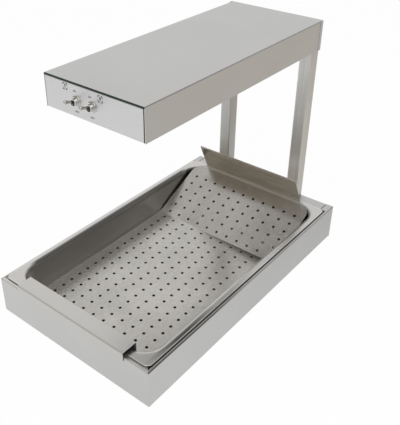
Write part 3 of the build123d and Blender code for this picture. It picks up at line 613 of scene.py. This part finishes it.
# Steel sheet of base, head and small brackets, brushed along the length of each piece

sheetLook = {
    "dark": (0.60, 0.598, 0.590, 1.0),
    "light": (0.64, 0.638, 0.630, 1.0),
    "patchScale": 5.0,
    "roughness": (0.32, 0.40),
    "polish": -0.03,
    "relief": 0.06,
    "streaks": 0.1,
    "metallic": 1.0,
}
alongX = dict(sheetLook, stretch=(12.0, 900.0, 900.0))
alongY = dict(sheetLook, stretch=(900.0, 12.0, 900.0))

# Rails: painted shade in the seam round the pan's rim, a painted highlight on the front flange and a
# painted dark reflection on the bend at the right

rimSize = {"centre": (0.0, -0.0103, 0.0), "half": (0.1625, 0.265, 1.0), "fade": 0.0004}
# Painted shade in the seam under the pan's rim, in a grey, a dark and a pale strength
greySeamShade = {
    "box": besideBox(start=-0.004, end=0.0012, **rimSize),
    "tone": (0.25, 0.25, 0.245, 1.0),
    "roughness": 0.5,
    "relief": 0.06,
}
darkSeamShade = dict(greySeamShade, tone=(0.05, 0.05, 0.048, 1.0))
paleSeamShade = dict(greySeamShade, tone=(0.46, 0.46, 0.45, 1.0))
# Painted highlight on the top strip of the front rail's flange
frontFlangeHighlight = {
    "box": insideBox((0.0, -0.2795, 0.0722), (0.1660, 0.0032, 0.0010), 0.0004),
    "tone": (0.78, 0.775, 0.76, 1.0),
    "roughness": 0.36,
    "relief": 0.06,
}
# Painted dark reflection on the outer bend of the right rail, towards its front
darkBendReflection = {
    "box": insideBox((0.1676, -0.20, 0.0716), (0.0011, 0.08, 0.0011), 0.0004, (1.0, 0.005, 1.0)),
    "tone": (0.20, 0.20, 0.195, 1.0),
    "roughness": 0.4,
    "relief": 0.06,
}
railFront = dict(alongX, bands=[frontFlangeHighlight, paleSeamShade])
railRear = dict(alongX, bands=[greySeamShade])
railLeft = dict(alongY, bands=[greySeamShade])
railRight = dict(alongY, bands=[darkSeamShade, darkBendReflection])

# Head: plain panels, painted shade in the seam at the right of the front one, painted light as a much
# brighter copy of the sheet below, and brighter sheet inside

panelLook = dict(
    alongX,
    dark=(0.69, 0.69, 0.70, 1.0),
    light=(0.73, 0.73, 0.74, 1.0),
    roughness=(0.42, 0.50),
)
# Painted shade in the gap at the right edge of the front panel
panelSeamShade = {
    "box": besideBox((-0.01, 0.0, 0.0), (0.1052, 1.0, 1.0), 0.0, 0.01, 0.0003),
    "tone": (0.05, 0.05, 0.05, 1.0),
    "roughness": 0.5,
    "relief": 0.06,
}
frontLook = dict(panelLook, bands=[panelSeamShade])
# Painted light: a much brighter copy of the sheet for the plate under the head
paintedLightUnderLook = dict(
    alongY,
    dark=(0.86, 0.855, 0.84, 1.0),
    light=(0.92, 0.915, 0.90, 1.0),
    roughness=(0.20, 0.26),
)
innerLook = dict(alongX, dark=(0.66, 0.66, 0.65, 1.0), light=(0.74, 0.74, 0.73, 1.0))
reflectorLook = dict(
    alongY,
    dark=(0.84, 0.84, 0.84, 1.0),
    light=(0.90, 0.90, 0.90, 1.0),
    roughness=(0.10, 0.16),
)

# Posts: clear streaks from top to bottom, the left post a darker copy of the steel as painted shade

postLook = dict(
    sheetLook,
    stretch=(300.0, 300.0, 3.0),
    dark=(0.57, 0.564, 0.545, 1.0),
    light=(0.86, 0.854, 0.832, 1.0),
    roughness=(0.42, 0.52),
    streaks=0.7,
)
leftPostPaintedShade = dict(postLook, dark=(0.46, 0.454, 0.437, 1.0), light=(0.70, 0.693, 0.671, 1.0))

# Pan, with bands in this order: a painted dark reflection on the right of the rim, a painted highlight
# on the rim's edge, painted shade on the walls and floor, on the lower and upper part of the left bend,
# and at the rear

panLook = dict(
    alongY,
    dark=(0.67, 0.657, 0.637, 1.0),
    light=(0.74, 0.727, 0.707, 1.0),
    roughness=(0.28, 0.34),
    relief=0.02,
    bands=[
        # Painted dark reflection on the right of the rim
        {
            "box": insideBox((0.1592, -0.19, 0.0746), (0.0012, 0.015, 0.004), 0.003, (0.5, 0.045, 1.0)),
            "tone": (0.16, 0.158, 0.15, 1.0),
            "roughness": 0.3,
            "relief": 0.02,
        },
        # Painted highlight on the rim's edge
        {
            "box": besideBox(start=-0.0016, end=0.01, **rimSize),
            "tone": (0.86, 0.855, 0.84, 1.0),
            "roughness": 0.3,
            "relief": 0.02,
        },
        # Painted shade on the walls and floor
        {
            "box": insideBox((0.0, 0.0, 0.03), (1.0, 1.0, 0.038), 0.003),
            "tone": (0.44, 0.430, 0.416, 1.0),
            "roughness": 0.32,
            "relief": 0.02,
        },
        # Painted shade on the lower part of the bend at the left
        {
            "box": insideBox((-0.15, 0.0, 0.0705), (0.014, 0.27, 0.0026), 0.0003),
            "tone": (0.38, 0.373, 0.36, 1.0),
            "roughness": 0.3,
            "relief": 0.02,
        },
        # Painted shade on the upper part of the bend at the left
        {
            "box": insideBox(
                (-0.1518, -0.0103, 0.0770),
                (0.0041, 0.205, 0.0041),
                0.0003,
                (1.0, 0.02, 1.0),
            ),
            "tone": (0.18, 0.177, 0.17, 1.0),
            "roughness": 0.3,
            "relief": 0.02,
        },
        # Painted shade at the rear, under the tray's rear flap
        {
            "box": insideBox((0.0, 0.25, 0.04), (1.0, 0.045, 0.0331), 0.0003),
            "tone": (0.16, 0.158, 0.15, 1.0),
            "roughness": 0.3,
            "relief": 0.02,
        },
    ],
)

# Tray, with bands in this order: painted light in a strip at the left wall and on the lower right of the
# slope, painted shade on the slope under the rear flap, painted light on the front flap, the rear flap,
# the lip in front, painted shade under the front flap

trayStretch = (700.0, 90.0, 90.0)
trayLook = dict(
    stretch=trayStretch,
    dark=(0.45, 0.437, 0.416, 1.0),
    light=(0.74, 0.722, 0.690, 1.0),
    patchScale=9.0,
    roughness=(0.18, 0.24),
    polish=-0.02,
    relief=0.35,
    streaks=0.7,
    metallic=0.85,
    bands=[
        # Painted light in a strip along the left wall
        {
            "box": insideBox((-0.15, -0.06, 0.02), (0.018, 0.165, 0.006), 0.003, (0.07, 0.10, 1.0)),
            "tone": (0.68, 0.662, 0.632, 1.0),
            "lines": (0.96, 0.938, 0.898, 1.0),
            "stretch": trayStretch,
            "roughness": 0.21,
            "relief": 0.35,
        },
        # Painted light on the lower right of the slope
        {
            "box": insideBox((0.12, 0.15, 0.045), (0.015, 0.05, 0.012), 0.003, (0.06, 1.0, 0.2)),
            "tone": (0.58, 0.564, 0.538, 1.0),
            "lines": (0.92, 0.898, 0.860, 1.0),
            "stretch": trayStretch,
            "roughness": 0.21,
            "relief": 0.35,
        },
        # Painted shade on the slope under the rear flap
        {
            "box": insideBox((0.02, 0.2, 0.078), (0.10, 0.06, 0.008), 0.003, (0.1, 1.0, 0.5)),
            "tone": (0.38, 0.365, 0.342, 1.0),
            "lines": (0.62, 0.600, 0.565, 1.0),
            "stretch": trayStretch,
            "roughness": 0.2,
            "relief": 0.35,
        },
        # Painted light on the front flap
        {
            "box": besideBox((0.0, 0.0, 0.0), (1.0, 0.237, 1.0), 0.0, 0.043, 0.003),
            "tone": (0.67, 0.657, 0.637, 1.0),
            "roughness": 0.3,
            "relief": 0.03,
        },
        {
            "box": insideBox((0.0, 0.0, 0.185), (1.0, 1.0, 0.1), 0.002),
            "tone": (0.44, 0.417, 0.378, 1.0),
            "lines": (0.88, 0.846, 0.785, 1.0),
            "stretch": (4.0, 150.0, 150.0),
            "roughness": 0.21,
            "relief": 0.2,
        },
        {
            "box": besideBox((0.0, 0.0, 0.0), (1.0, 0.2805, 1.0), 0.0, 0.02, 0.0006),
            "tone": (0.62, 0.606, 0.585, 1.0),
            "roughness": 0.33,
            "relief": 0.02,
        },
        # Painted shade under the front flap
        {
            "box": insideBox((0.0, -0.269, 0.0803), (1.0, 0.0135, 0.0011), 0.0002),
            "tone": (0.03, 0.028, 0.025, 1.0),
            "roughness": 0.5,
            "relief": 0.02,
        },
    ],
    # Painted shade in front of the fold between the floor and the slope
    fold={
        "shade": {"Place": 0.108, "Left": -0.055, "Right": 0.13, "Reach": 0.030},
        "tone": (0.07, 0.066, 0.060, 1.0),
    },
)

dress(makeSteel("steelFrontRail", railFront), "front_rail")
dress(makeSteel("steelRearRail", railRear), "rear_rail", "corner_gussets")
dress(makeSteel("steelPanel", panelLook), "rear_panel")
dress(makeSteel("steelFront", frontLook), "front_panel")
dress(makeSteel("steelLeft", railLeft), "left_rail")
dress(makeSteel("steelRight", railRight), "right_rail")
dress(makeSteel("steelCover", alongY), "head_cover")
dress(makeSteel("steelUnderPaintedLight", paintedLightUnderLook), "bottom_plate")
dress(makeSteel("steelLeftPostPaintedShade", leftPostPaintedShade), "left_post")
dress(makeSteel("steelPost", postLook), "right_post")
dress(makeSteel("steelPan", panLook), "food_pan")
dress(makeSteel("steelTray", trayLook), "perforated_tray")
dress(makeSteel("steelInner", innerLook), "heat_shield", "heater_clips", "reflector_standoffs")
dress(makeSteel("steelReflector", reflectorLook), "reflector")

# Small parts

sheathLook = {
    "dark": (0.10, 0.09, 0.085, 1.0),
    "light": (0.22, 0.20, 0.19, 1.0),
    "scale": 300.0,
    "roughness": (0.4, 0.6),
    "relief": 0.1,
    "metallic": 0.8,
}
ceramicLook = {
    "dark": (0.80, 0.78, 0.72, 1.0),
    "light": (0.86, 0.85, 0.80, 1.0),
    "scale": 400.0,
    "roughness": (0.2, 0.32),
    "relief": 0.04,
    "metallic": 0.0,
}
bulbLook = {
    "dark": (0.86, 0.85, 0.82, 1.0),
    "light": (0.92, 0.92, 0.90, 1.0),
    "scale": 500.0,
    "roughness": (0.25, 0.35),
    "relief": 0.03,
    "metallic": 0.0,
}
chromeLook = {
    "dark": (0.50, 0.48, 0.46, 1.0),
    "light": (0.60, 0.58, 0.56, 1.0),
    "scale": 700.0,
    "roughness": (0.10, 0.18),
    "relief": 0.02,
    "metallic": 1.0,
}
fittingLook = dict(
    chromeLook,
    dark=(0.66, 0.65, 0.63, 1.0),
    light=(0.76, 0.75, 0.73, 1.0),
    roughness=(0.22, 0.30),
)
blackLook = {
    "dark": (0.012, 0.012, 0.012, 1.0),
    "light": (0.03, 0.03, 0.03, 1.0),
    "scale": 1200.0,
    "roughness": (0.42, 0.55),
    "relief": 0.15,
    "metallic": 0.0,
}
switchLook = dict(
    blackLook,
    plate={
        "box": besideBox((0.0, -0.196, 0.0), (1.0, 0.0, 1.0), -1.0, 0.0018, 0.0004),
        "tone": (0.80, 0.79, 0.77, 1.0),
    },
)
rubberLook = {
    "dark": (0.010, 0.010, 0.010, 1.0),
    "light": (0.022, 0.022, 0.022, 1.0),
    "scale": 1500.0,
    "roughness": (0.45, 0.6),
    "relief": 0.2,
    "metallic": 0.0,
}
trimLook = {
    "dark": (0.004, 0.020, 0.015, 1.0),
    "light": (0.010, 0.036, 0.028, 1.0),
    "scale": 900.0,
    "roughness": (0.6, 0.75),
    "relief": 0.1,
    "metallic": 0.0,
}
inkLook = {
    "dark": (0.020, 0.020, 0.022, 1.0),
    "light": (0.045, 0.045, 0.048, 1.0),
    "scale": 2500.0,
    "roughness": (0.5, 0.65),
    "relief": 0.05,
    "metallic": 0.0,
}
pinLook = {
    "dark": (0.62, 0.55, 0.38, 1.0),
    "light": (0.72, 0.66, 0.48, 1.0),
    "scale": 600.0,
    "roughness": (0.15, 0.25),
    "relief": 0.03,
    "metallic": 1.0,
}

fittings = ("light_switch_bushing", "heat_switch_bushing", "switch_washers", "switch_nuts")
chromed = ("light_switch_lever", "heat_switch_lever", "base_screws", "head_screws")
dress(makePlain("heaterSheath", sheathLook), "heating_tube")
dress(makePlain("ceramic", ceramicLook), "heater_terminals", "lamp_holder")
dress(makePlain("bulbGlass", bulbLook), "lamp_bulb")
dress(makePlain("chrome", chromeLook), *chromed)
dress(makePlain("fitting", fittingLook), *fittings)
dress(makePlain("blackPlastic", blackLook), "terminal_block", "strain_relief", "cable_tie", "plug")
dress(makePlain("switchCase", switchLook), "light_switch_body", "heat_switch_body")
cordRubber = makePlain("cordRubber", rubberLook)
dress(cordRubber, "wire_loom")
mainsLead.data.materials.append(cordRubber)
dress(makePlain("trimRubber", trimLook), "edge_trim")
dress(makePlain("pinMetal", pinLook), "plug_pins")
panelMarks.data.materials.append(makePlain("printInk", inkLook))
print("materials dressed")

# Studio: the camera sees a white floor and a white room. Metal mirrors a floor that greys to the rear
# right, a room that brightens from the front right to the rear left, and a warm wall at the front left.
# A large soft lamp hangs above the front right.

studioLook = {
    "floorHalf": 4.0,
    "floorPale": (0.86, 0.86, 0.86, 1.0),
    "floorWhite": 0.97,
    "white": (1.0, 1.0, 1.0, 1.0),
    "cardAxis": (0.6, 0.8, 0.0),
    "cardEnds": (-0.6, 0.6),
    "cardTones": {
        0.0: (0.970, 0.970, 0.970, 1.0),
        0.47: (0.815, 0.815, 0.812, 1.0),
        0.80: (0.705, 0.705, 0.702, 1.0),
        1.0: (0.660, 0.625, 0.570, 1.0),
    },
    "skyAxis": (-0.664, 0.515, -0.047),
    "skyEnds": (-0.149, 0.77),
    "skyTones": {
        0.0: (0.200, 0.192, 0.180, 1.0),
        0.10: (0.230, 0.220, 0.205, 1.0),
        0.45: (0.550, 0.544, 0.530, 1.0),
        0.52: (0.660, 0.655, 0.640, 1.0),
        0.80: (0.800, 0.795, 0.790, 1.0),
        1.0: (0.830, 0.830, 0.830, 1.0),
    },
    "skyPlain": (0.5, 0.5, 0.5, 1.0),
    "wallAxis": (-0.46, -0.73, 0.51),
    "wallEnds": (0.80, 0.97),
    "wallTone": (0.100, 0.060, 0.008, 1.0),
    "lampPlace": (1.0, -1.2, 2.6),
    "lampSize": 3.0,
    "lampPower": 50.0,
}


# A colour ramp with a stop for each place from 0 to 1
def addRamp(tree, share, tones):
    ramp = addNode(tree, "ShaderNodeValToRGB", {0: share})
    stops = ramp.color_ramp.elements
    for place, tone in tones.items():
        ends = {0.0: stops[0], 1.0: stops[-1]}
        stop = ends[place] if place in ends else stops.new(place)
        stop.color = tone
    return ramp.outputs[0]


# Masks for two kinds of rays: the camera's own, and those that metal mirrors or glass lets through
def addRays(tree):
    ray = addNode(tree, "ShaderNodeLightPath").outputs
    mirrored = addMath(tree, "MAXIMUM", ray["Is Glossy Ray"], ray["Is Transmission Ray"])
    return ray["Is Camera Ray"], mirrored


def addFloor(look):
    half = look["floorHalf"]
    corners = [(-half, -half, 0), (half, -half, 0), (half, half, 0), (-half, half, 0)]
    data = bpy.data.meshes.new("floor")
    data.from_pydata(corners, [], [(0, 1, 2, 3)])
    floor = bpy.data.objects.new("floor", data)
    scene.collection.objects.link(floor)
    material = bpy.data.materials.new("floor")
    material.use_nodes = True
    tree = material.node_tree
    tree.nodes.clear()
    straight, mirrored = addRays(tree)
    either = addMath(tree, "MAXIMUM", mirrored, straight)
    place = addNode(tree, "ShaderNodeTexCoord").outputs["Object"]
    share = addRange(tree, addDotProduct(tree, place, look["cardAxis"]), look["cardEnds"])
    card = addRamp(tree, share, look["cardTones"])
    colour = mixColours(tree, mirrored, look["white"], card)
    white = addNode(tree, "ShaderNodeEmission", {"Color": colour, "Strength": 1.0}).outputs[0]
    matt = addNode(tree, "ShaderNodeBsdfDiffuse", {"Color": look["floorPale"]}).outputs[0]
    seen = addNode(tree, "ShaderNodeMixShader", {0: look["floorWhite"], 1: matt, 2: white}).outputs[0]
    mixed = addNode(tree, "ShaderNodeMixShader", {0: either, 1: matt, 2: seen}).outputs[0]
    addNode(tree, "ShaderNodeOutputMaterial", {0: mixed})
    data.materials.append(material)


def addSky(look):
    world = bpy.data.worlds.new("studio")
    scene.world = world
    world.use_nodes = True
    tree = world.node_tree
    tree.nodes.clear()
    direction = addNode(tree, "ShaderNodeTexCoord").outputs["Generated"]
    share = addRange(tree, addDotProduct(tree, direction, look["skyAxis"]), look["skyEnds"])
    ramp = addRamp(tree, share, look["skyTones"])
    facing = addDotProduct(tree, direction, look["wallAxis"])
    near = addRange(tree, facing, look["wallEnds"], kind="SMOOTHSTEP")
    tones = mixColours(tree, near, ramp, look["wallTone"], blend="ADD")
    straight, mirrored = addRays(tree)
    lit = mixColours(tree, mirrored, look["skyPlain"], tones)
    colour = mixColours(tree, straight, lit, look["white"])
    sky = addNode(tree, "ShaderNodeBackground", {"Color": colour, "Strength": 1.0}).outputs[0]
    addNode(tree, "ShaderNodeOutputWorld", {0: sky})


def addLamp(look):
    data = bpy.data.lights.new("softLamp", "AREA")
    data.shape = "SQUARE"
    data.size = look["lampSize"]
    data.energy = look["lampPower"]
    lamp = bpy.data.objects.new("softLamp", data)
    lamp.location = look["lampPlace"]
    lamp.rotation_euler = (-Vector(look["lampPlace"])).to_track_quat("-Z", "Y").to_euler()
    scene.collection.objects.link(lamp)


addFloor(studioLook)
addSky(studioLook)
addLamp(studioLook)
scene.view_settings.view_transform = "Standard"
print("studio lit")
